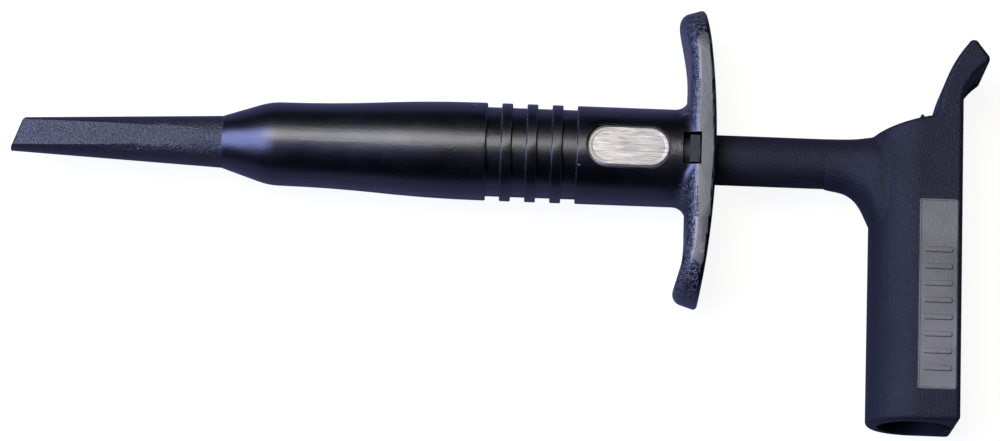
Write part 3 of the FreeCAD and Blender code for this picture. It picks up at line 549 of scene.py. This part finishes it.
def moulding(name, colour_name, roughness, depth="barrel_grain_depth", scale=1.0, **look):
    """A plastic that takes its colour, grain size and grain depth from the settings."""
    colours, finish = bpy.context.scene.clip_colours, bpy.context.scene.clip_finish
    return plastic(name, getattr(colours, colour_name), finish.grain_size * scale, getattr(finish, depth),
                   roughness, **look)


def black_moulding():
    return moulding("black_moulding", "plastic", 0.44, depth="grain_depth", shine=1.0)


def black_handle():
    return moulding("black_handle", "handle", 0.62, depth="grain_depth", shine=0.55)


def black_barrel():
    return moulding("black_barrel", "plastic", 0.31, scale=0.8, specks=0.8)


# Black satin plastic painted light grey for the flange's level edge band: a painted highlight.
def flange_satin():
    return moulding("flange_satin", "satin", 0.36, rub=0.4, specks=0.4)


# Satin plastic painted light grey for the label panel and its bars: a painted highlight.
def label_satin():
    return moulding("label_satin", "label", 0.38, specks=0.5, tone=0.6)


def latch_moulding():
    return moulding("latch_moulding", "latch", 0.40, shine=0.4)


def rubber():
    return moulding("rubber_finish", "rubber", 0.62, scale=0.6, rub=0.3)


def flange_worms():
    """The flange front: black plastic with shallow winding ridges, whose raised lines are painted paler as a
    painted highlight.
    """
    material, tree, shader = new_material("flange_worms", 0.33, Specular_IOR_Level=SLEEK)
    if not tree:
        return material
    colours, finish = bpy.context.scene.clip_colours, bpy.context.scene.clip_finish
    worms = use_group(tree, "worm_texture", Size=finish.worm_size)
    handled = use_group(tree, "handling", Specks=0.5)
    # Ridges painted in the pale edge colour: a painted highlight on them.
    body = mix_colour(tree, worms["Ridge"], tuple(colours.plastic), tuple(colours.wear_and_highlight))
    dusty = mix_colour(tree, handled["Speck"], body, tuple(colours.dust))
    put(tree, shader.inputs["Base Color"], dusty)
    put(tree, shader.inputs["Roughness"], remap(tree, handled["Gloss"], 0.0, 1.0, 0.30, 0.40))
    bump(tree, shader, worms["Ridge"], finish.worm_depth)
    return material


def brushed_plate():
    """Bare brushed metal with its lines along the barrel."""
    material, tree, shader = new_material("brushed_plate", 0.50, metallic=1.0)
    if not tree:
        return material
    scene = bpy.context.scene
    lines = use_group(tree, "brushed_lines")
    handled = use_group(tree, "handling", Specks=0.0)
    base = tuple(scene.clip_colours.plate)
    dull = tuple(value * UNBRUSHED for value in base)
    put(tree, shader.inputs["Base Color"], mix_colour(tree, lines["Tone"], dull, base))
    rough = remap(tree, lines["Tone"], 0.0, 1.0, 0.58, 0.42)
    smudged = maths(tree, "MULTIPLY", handled["Gloss"], 0.04)
    put(tree, shader.inputs["Roughness"], maths(tree, "ADD", rough, smudged))
    bump(tree, shader, lines["Height"], scene.clip_finish.brush_depth)
    return material


def drawn_metal(name, base, roughness):
    """Turned or rolled metal: fine tool marks, a little tarnish, bright edges that are partly wear and partly
    a painted edge highlight.
    """
    material, tree, shader = new_material(name, roughness, metallic=1.0)
    if not tree:
        return material
    marks = use_group(tree, "brushed_lines", Length=3.0 * MM, Width=0.07 * MM)
    rubbed_and_highlit = use_group(tree, "edge_rub", Radius=0.10 * MM, Amount=0.8)
    handled = use_group(tree, "handling", Specks=0.0)
    dull = tuple(value * TARNISHED for value in base)
    tarnish = mix_colour(tree, handled["Gloss"], tuple(base), dull)
    # Edges painted brighter: partly burnished wear, partly a painted edge highlight.
    bright = tuple(min(1.0, value * BURNISHED_HIGHLIGHT) for value in base)
    put(tree, shader.inputs["Base Color"], mix_colour(tree, rubbed_and_highlit["Mask"], tarnish, bright))
    rough = remap(tree, handled["Gloss"], 0.0, 1.0, roughness - 0.05, roughness + 0.10)
    put(tree, shader.inputs["Roughness"], rough)
    bump(tree, shader, marks["Height"], bpy.context.scene.clip_finish.tool_depth)
    return material


def spring_steel():
    return drawn_metal("spring_steel_finish", bpy.context.scene.clip_colours.steel, 0.30)


def brass():
    return drawn_metal("brass_finish", bpy.context.scene.clip_colours.brass, 0.27)


# ---------------------------------------------------------------- the pieces

class TESTCLIP_OT_nose(bpy.types.Operator):
    """Makes the long slotted nose with its slanted tip"""
    bl_idname = "testclip.nose"
    bl_label = "Nose"

    def execute(self, context):
        piece = moulded_copy("nose", "nose_moulding")
        self.keep_flats(piece)
        finish_piece(piece, BARREL_BODY, black_moulding(), ["nose"])
        return {"FINISHED"}

    def keep_flats(self, piece):
        """Marks the outline of the nose's two long flats, so that the rounds don't shade into them."""
        level = [face for face in piece.data.polygons if face.normal.z > LEVEL]
        taper = max(level, key=lambda face: face.area)
        edit(piece)
        for way in (-1, 1):
            flat = Vector((taper.normal.x, 0, way * taper.normal.z)).normalized()
            choose(piece, "FACE", lambda place, normal: normal.dot(flat) > SAME_PLANE)
            bpy.ops.mesh.region_to_loop()
            bpy.ops.mesh.mark_sharp()
            bpy.ops.mesh.select_mode(type="FACE")
        object_mode()
        apply_modifier(piece, "WEIGHTED_NORMAL", weight=FLATS_FIRST, keep_sharp=True)


class TESTCLIP_OT_barrel(bpy.types.Operator):
    """Makes the barrel with its grip grooves, window and finger flange"""
    bl_idname = "testclip.barrel"
    bl_label = "Barrel and flange"

    def execute(self, context):
        sizes = context.scene.clip_sizes
        piece = moulded_copy("barrel", "barrel_moulding")
        finish_piece(piece, BARREL_BODY, black_barrel(), ["barrel"])
        piece.data.materials.append(flange_worms())
        piece.data.materials.append(flange_satin())
        front = nose_low.x + sizes.flange_front
        band = front + sizes.flange_crown
        radius = cad_high.z - AXIS_Z
        wing = radius + sizes.flange_margin

        def beside(middle):
            return abs(middle.y - AXIS_Y)

        def on_crown(middle, normal):
            reach = sizes.flange_sweep if beside(middle) > wing else sizes.flange_root
            outside = beside(middle) > radius * sizes.flange_shoulder
            return outside and normal.x < FORWARD and middle.x > front - reach

        def on_band(middle, normal):
            start = band - sizes.band_lead if beside(middle) < wing else front - sizes.flange_sweep
            raised = abs(middle.z - AXIS_Z) > radius - sizes.band_drop
            return raised and abs(normal.z) > BAND_FACING and middle.x > start

        edit(piece)
        choose(piece, "FACE", on_crown)
        context.object.active_material_index = 1
        bpy.ops.object.material_slot_assign()
        # The level faces of the edge band get the painted highlight.
        choose(piece, "FACE", on_band)
        context.object.active_material_index = 2
        bpy.ops.object.material_slot_assign()
        object_mode()
        return {"FINISHED"}


class TESTCLIP_OT_marking_plate(bpy.types.Operator):
    """Makes the brushed metal plate with its bevelled rim and stamped line"""
    bl_idname = "testclip.marking_plate"
    bl_label = "Marking plate"

    def execute(self, context):
        sizes = context.scene.clip_sizes
        low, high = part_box("marking_plate")
        middle = (low + high) / 2
        radius = (high.y - low.y) / 2
        side = (high.x - low.x) / 2 - radius
        bpy.ops.object.select_all(action="DESELECT")
        bpy.ops.mesh.primitive_circle_add(vertices=96, radius=radius, fill_type="NGON",
                                          location=(middle.x, middle.y, low.z),
                                          rotation=(0, 0, math.pi / 96))
        piece = context.object
        piece.name = "marking_plate_face"
        apply_place(piece)
        edit(piece)
        for way in (-1, 1):
            choose(piece, "VERT", lambda place: (place.x - middle.x) * way > 0)
            bpy.ops.transform.translate(value=(way * side, 0, 0))
        bpy.ops.mesh.select_all(action="SELECT")
        wall = high.z - low.z - sizes.plate_crown
        bpy.ops.mesh.extrude_region_move(TRANSFORM_OT_translate={"value": (0, 0, wall)})
        bpy.ops.mesh.extrude_region_move(TRANSFORM_OT_translate={"value": (0, 0, sizes.plate_crown)})
        self.shrink(middle, radius, side, sizes.plate_rim)
        bpy.ops.mesh.inset(thickness=sizes.stamp_inset, depth=0)
        bpy.ops.mesh.inset(thickness=sizes.stamp_wall, depth=-sizes.stamp_depth)
        bpy.ops.mesh.inset(thickness=sizes.stamp_floor, depth=0)
        bpy.ops.mesh.inset(thickness=sizes.stamp_wall, depth=sizes.stamp_rise)
        object_mode()
        outward(piece)
        smooth(piece)
        finish_piece(piece, BARREL_BODY, brushed_plate(), ["marking_plate"])
        return {"FINISHED"}

    def shrink(self, middle, radius, side, rim):
        """Pulls the selected outline in by the rim, the same amount on its straights and its ends."""
        factor = ((radius + side - rim) / (radius + side), (radius - rim) / radius, 1)
        bpy.ops.transform.resize(value=factor, center_override=(middle.x, middle.y, middle.z))


class TESTCLIP_OT_rear_bush(bpy.types.Operator):
    """Makes the snap-in rear bush whose tongues show in the windows"""
    bl_idname = "testclip.rear_bush"
    bl_label = "Rear bush"

    def execute(self, context):
        piece = moulded_copy("rear_bush", "rear_bush_moulding")
        finish_piece(piece, BARREL_BODY, latch_moulding(), ["rear_bush"])
        return {"FINISHED"}


class TESTCLIP_OT_handle(bpy.types.Operator):
    """Makes the handle with its horn, socket tube and gate nib"""
    bl_idname = "testclip.handle"
    bl_label = "Handle"

    def execute(self, context):
        sizes = context.scene.clip_sizes
        piece = moulded_copy("handle", "handle_moulding")
        finish_piece(piece, PLUNGER_BODY, black_handle(), ["handle"])
        place = (nose_low.x + sizes.nib_place, AXIS_Y + sizes.nib_height, AXIS_Z + sizes.nib_rise)
        bpy.ops.object.select_all(action="DESELECT")
        bpy.ops.mesh.primitive_uv_sphere_add(segments=20, ring_count=12, radius=sizes.nib, location=place)
        nib = context.object
        nib.name = "handle_nib"
        apply_place(nib)
        edit(nib)
        drawn_out = sizes.nib * sizes.nib_stretch
        choose(nib, "VERT", lambda point: point.y > place[1] + drawn_out)
        bpy.ops.transform.translate(value=(0, drawn_out, 0))
        bpy.ops.transform.resize(value=(sizes.nib_taper, 1, sizes.nib_taper), center_override=place)
        object_mode()
        smooth(nib)
        finish_piece(nib, PLUNGER_BODY, black_handle())
        return {"FINISHED"}


class TESTCLIP_OT_label_panel(bpy.types.Operator):
    """Makes the satin panel on the handle and its row of plain raised bars, both painted light grey as a
    painted highlight
    """
    bl_idname = "testclip.label_panel"
    bl_label = "Label panel"

    def execute(self, context):
        sizes = context.scene.clip_sizes
        low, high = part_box("label_panel")
        middle = (low + high) / 2
        size = high - low
        face = high.z - sizes.bar_height
        bpy.ops.object.select_all(action="DESELECT")
        bpy.ops.mesh.primitive_cube_add(size=1, location=(middle.x, middle.y, (low.z + face) / 2),
                                        scale=(size.x, size.y, face - low.z))
        piece = context.object
        piece.name = "label_plate"
        apply_place(piece)
        edit(piece)
        choose(piece, "EDGE", lambda one, two: abs(one.z - two.z) > WALL)
        bpy.ops.mesh.bevel(offset=sizes.panel_corner, segments=6, affect="EDGES")
        choose(piece, "FACE", lambda place, normal: normal.z > UPWARD)
        bpy.ops.mesh.inset(thickness=sizes.panel_slope, depth=sizes.panel_rise)
        bpy.ops.mesh.inset(thickness=sizes.panel_border, depth=0)
        bpy.ops.mesh.inset(thickness=sizes.panel_step, depth=-sizes.panel_sink)
        object_mode()
        smooth(piece)
        finish_piece(piece, PLUNGER_BODY, label_satin(), ["label_panel"])
        self.make_bars(context, low, high, face, sizes)
        return {"FINISHED"}

    def make_bars(self, context, low, high, face, sizes):
        """One bar is modelled, then copied down the panel at an even pitch."""
        middle = (low + high) / 2
        long_side = (high.x - low.x) * sizes.bar_reach
        pitch = (high.y - low.y) * sizes.bar_spread / max(1, sizes.bar_count - 1)
        top = high.y - (high.y - low.y) * sizes.bar_start
        centre = face + (sizes.bar_height - sizes.bar_root) / 2
        bars = []
        for step in range(sizes.bar_count):
            if not bars:
                bpy.ops.object.select_all(action="DESELECT")
                bpy.ops.mesh.primitive_cube_add(
                    size=1, location=(middle.x, top, centre),
                    scale=(long_side, sizes.bar_width, sizes.bar_height + sizes.bar_root))
                bar = context.object
                apply_place(bar)
                edit(bar)
                choose(bar, "EDGE", lambda one, two: abs(one.z - two.z) > WALL)
                bpy.ops.mesh.bevel(offset=sizes.bar_width * sizes.bar_corner, segments=6, affect="EDGES")
                choose(bar, "FACE", lambda place, normal: normal.z > UPWARD)
                bpy.ops.mesh.bevel(offset=sizes.bar_round, segments=3, affect="EDGES")
                object_mode()
            else:
                bar = bars[0].copy()
                bar.data = bars[0].data.copy()
                context.scene.collection.objects.link(bar)
                bar.data.transform(Matrix.Translation((0, -step * pitch, 0)))
            bars.append(bar)
        select_only(*bars)
        bpy.ops.object.join()
        piece = context.object
        piece.name = "label_bars"
        smooth(piece)
        finish_piece(piece, PLUNGER_BODY, label_satin())


class TESTCLIP_OT_return_spring(bpy.types.Operator):
    """Makes the coil spring that pushes the plunger back"""
    bl_idname = "testclip.return_spring"
    bl_label = "Return spring"

    def execute(self, context):
        sizes = context.scene.clip_sizes
        low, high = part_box("return_spring")
        middle = (low + high) / 2
        radius = (high.y - low.y) / 2 - sizes.wire / 2
        travel = high.x - low.x - sizes.wire
        bpy.ops.object.select_all(action="DESELECT")
        bpy.ops.mesh.primitive_circle_add(vertices=12, radius=sizes.wire / 2, fill_type="NOTHING",
                                          rotation=(math.pi / 2, 0, 0))
        piece = context.object
        piece.name = "return_spring_coil"
        apply_place(piece)
        edit(piece)
        bpy.ops.mesh.select_all(action="SELECT")
        bpy.ops.transform.translate(value=(0, 0, radius))
        object_mode()
        apply_modifier(piece, "SCREW", axis="X", angle=math.tau, steps=32, render_steps=32,
                       iterations=sizes.spring_turns, screw_offset=travel / sizes.spring_turns,
                       use_merge_vertices=False)
        edit(piece)
        bpy.ops.mesh.select_mode(type="EDGE")
        bpy.ops.mesh.select_non_manifold()
        bpy.ops.mesh.fill_holes(sides=0)
        object_mode()
        outward(piece)
        piece.location = (low.x + sizes.wire / 2, middle.y, middle.z)
        apply_place(piece)
        smooth(piece)
        finish_piece(piece, BARREL_BODY, spring_steel(), ["return_spring"])
        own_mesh(piece)
        return {"FINISHED"}


class TESTCLIP_OT_jaws(bpy.types.Operator):
    """Makes the two spring jaws, their pin and the strip that drives them"""
    bl_idname = "testclip.jaws"
    bl_label = "Jaws and drive strip"

    def execute(self, context):
        rounding = context.scene.clip_finish.metal_rounding
        for node, name, body in (("upper_jaw", "upper_jaw_leaf", "upper_jaw_body"),
                                 ("lower_jaw", "lower_jaw_leaf", "lower_jaw_body"),
                                 ("drive_strip", "drive_strip_leaf", PLUNGER_BODY),
                                 ("jaw_pivot_pin", "jaw_pivot_rivet", PLUNGER_BODY)):
            piece = moulded_copy(node, name, rounding)
            finish_piece(piece, body, spring_steel(), [node])
        return {"FINISHED"}


class TESTCLIP_OT_socket(bpy.types.Operator):
    """Makes the turned plug contact, its screw and the ring that holds it"""
    bl_idname = "testclip.socket"
    bl_label = "Plug socket"

    def execute(self, context):
        rounding = context.scene.clip_finish.metal_rounding
        for node, name, slot, material in (
                ("socket_contact", "socket_contact_turned", "brass", brass()),
                ("contact_screw", "contact_screw_turned", "spring_steel", spring_steel()),
                ("socket_ring", "socket_ring_moulding", "latch_plastic", latch_moulding())):
            piece = moulded_copy(node, name, rounding)
            finish_piece(piece, PLUNGER_BODY, material, [node])
        return {"FINISHED"}


class TESTCLIP_OT_inner_parts(bpy.types.Operator):
    """Gives the rod, collar, seat, clip, washer, rivet and liner their finishes"""
    bl_idname = "testclip.inner_parts"
    bl_label = "Inner parts"

    def execute(self, context):
        for node, material in (("plunger_rod", brass()), ("spring_collar", brass()), ("strip_rivet", brass()),
                               ("collar_clip", spring_steel()), ("spring_seat", spring_steel()),
                               ("stop_washer", rubber()), ("nose_liner", latch_moulding())):
            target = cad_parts[node]
            for slot in target.material_slots:
                slot.material = material
        return {"FINISHED"}


# ---------------------------------------------------------------- the studio

def direction(azimuth, elevation):
    """A unit vector from the clip: azimuth 0 points along -Y and turns towards +X."""
    flat = math.cos(elevation)
    return Vector((math.sin(azimuth) * flat, -math.cos(azimuth) * flat, math.sin(elevation)))


def softbox(name, place, width, height, radiance, tint):
    """A rectangular area light that faces the clip and isn't seen by the camera."""
    place = Vector(place)
    bpy.ops.object.light_add(type="AREA", location=place,
                             rotation=(-place).to_track_quat("-Z", "Y").to_euler())
    lamp = bpy.context.object
    lamp.name = name
    lamp.data.shape = "RECTANGLE"
    lamp.data.size = width
    lamp.data.size_y = height
    lamp.data.color = tint
    lamp.data.energy = radiance * math.pi * width * height
    lamp.visible_camera = False


class TESTCLIP_OT_studio(bpy.types.Operator):
    """Makes the pale floor, the soft lights and the camera"""
    bl_idname = "testclip.studio"
    bl_label = "Studio"

    def execute(self, context):
        studio = context.scene.clip_studio
        self.make_floor(context, studio)
        self.make_lights(context, studio)
        self.make_camera(context, studio)
        context.scene.view_settings.view_transform = "Standard"
        return {"FINISHED"}

    def make_floor(self, context, studio):
        """A pale paper floor, which shows darker in reflections so that the black plastic stays black."""
        bpy.ops.object.select_all(action="DESELECT")
        bpy.ops.mesh.primitive_plane_add(size=studio.floor_size, location=(0, 0, cad_low.z))
        floor = context.object
        floor.name = "studio_floor"
        apply_place(floor)
        material, tree, shader = new_material("studio_floor_paper", 0.85, Specular_IOR_Level=0.0)
        base = tuple(studio.floor)
        shade = tuple(value * 0.97 for value in base)
        fibres = noise(tree, stretched(tree, (1, 1, 1)), 60.0, detail=4.0)
        put(tree, shader.inputs["Base Color"], mix_colour(tree, fibres, base, shade))
        shader.inputs["Emission Color"].default_value = (1.0, 1.0, 1.0, 1.0)
        shader.inputs["Emission Strength"].default_value = studio.floor_glow
        reflected = add(tree, "ShaderNodeBsdfDiffuse", Color=(*studio.floor_reflected, 1.0))
        by_ray = add(tree, "ShaderNodeMixShader")
        put(tree, by_ray.inputs[0], add(tree, "ShaderNodeLightPath").outputs["Is Camera Ray"])
        put(tree, by_ray.inputs[1], reflected.outputs["BSDF"])
        put(tree, by_ray.inputs[2], shader.outputs["BSDF"])
        put(tree, tree.nodes["Material Output"].inputs["Surface"], by_ray.outputs["Shader"])
        floor.data.materials.append(material)

    def make_lights(self, context, studio):
        for name, place, width, height, radiance, tint in SOFTBOXES:
            softbox(name, place, width, height, getattr(studio, radiance), tuple(getattr(studio, tint)))
        world = bpy.data.worlds.new("studio_room")
        world.use_nodes = True
        tree = world.node_tree
        background = tree.nodes["Background"]
        background.inputs["Color"].default_value = (*studio.room_tint, 1.0)
        seen = add(tree, "ShaderNodeLightPath").outputs["Is Camera Ray"]
        put(tree, background.inputs["Strength"], remap(tree, seen, 0.0, 1.0, studio.room, studio.backdrop))
        context.scene.world = world

    def make_camera(self, context, studio):
        way = direction(studio.azimuth, studio.elevation)
        middle = (cad_low + cad_high) / 2
        aim = middle + Vector((studio.aim_x, studio.aim_y, 0))
        bpy.ops.object.camera_add(location=aim + way * studio.distance,
                                  rotation=(-way).to_track_quat("-Z", "Y").to_euler())
        camera = context.object
        camera.name = "studio_camera"
        camera.data.lens = studio.lens
        camera.data.clip_start = studio.distance * 0.05
        camera.data.clip_end = studio.floor_size * 4
        camera.data.dof.use_dof = False
        context.scene.camera = camera


PIECE_OPERATORS = (
    TESTCLIP_OT_nose,
    TESTCLIP_OT_barrel,
    TESTCLIP_OT_marking_plate,
    TESTCLIP_OT_rear_bush,
    TESTCLIP_OT_handle,
    TESTCLIP_OT_label_panel,
    TESTCLIP_OT_return_spring,
    TESTCLIP_OT_jaws,
    TESTCLIP_OT_socket,
    TESTCLIP_OT_inner_parts,
    TESTCLIP_OT_studio,
)


class TESTCLIP_PT_panel(bpy.types.Panel):
    """Lists the test clip's operators and settings"""
    bl_idname = "TESTCLIP_PT_panel"
    bl_label = "Test Clip"
    bl_space_type = "VIEW_3D"
    bl_region_type = "UI"
    bl_category = "Test Clip"

    def draw(self, context):
        for operator in PIECE_OPERATORS:
            self.layout.operator(operator.bl_idname)
        for label in ("clip_sizes", "clip_finish", "clip_colours", "clip_studio"):
            box = self.layout.box()
            group = getattr(context.scene, label)
            for name in group.__annotations__:
                box.prop(group, name)


SETTINGS = {
    "clip_colours": ClipColours,
    "clip_finish": ClipFinish,
    "clip_sizes": ClipSizes,
    "clip_studio": StudioSettings,
}
CLASSES = (*SETTINGS.values(), *PIECE_OPERATORS, TESTCLIP_PT_panel)


def register():
    for entry in CLASSES:
        bpy.utils.register_class(entry)
    for label, group in SETTINGS.items():
        setattr(bpy.types.Scene, label, PointerProperty(type=group))


def unregister():
    for label in SETTINGS:
        delattr(bpy.types.Scene, label)
    for entry in reversed(CLASSES):
        bpy.utils.unregister_class(entry)


def main():
    register()
    for operator in PIECE_OPERATORS:
        group, name = operator.bl_idname.split(".")
        getattr(getattr(bpy.ops, group), name)()


if __name__ == "__main__":
    main()
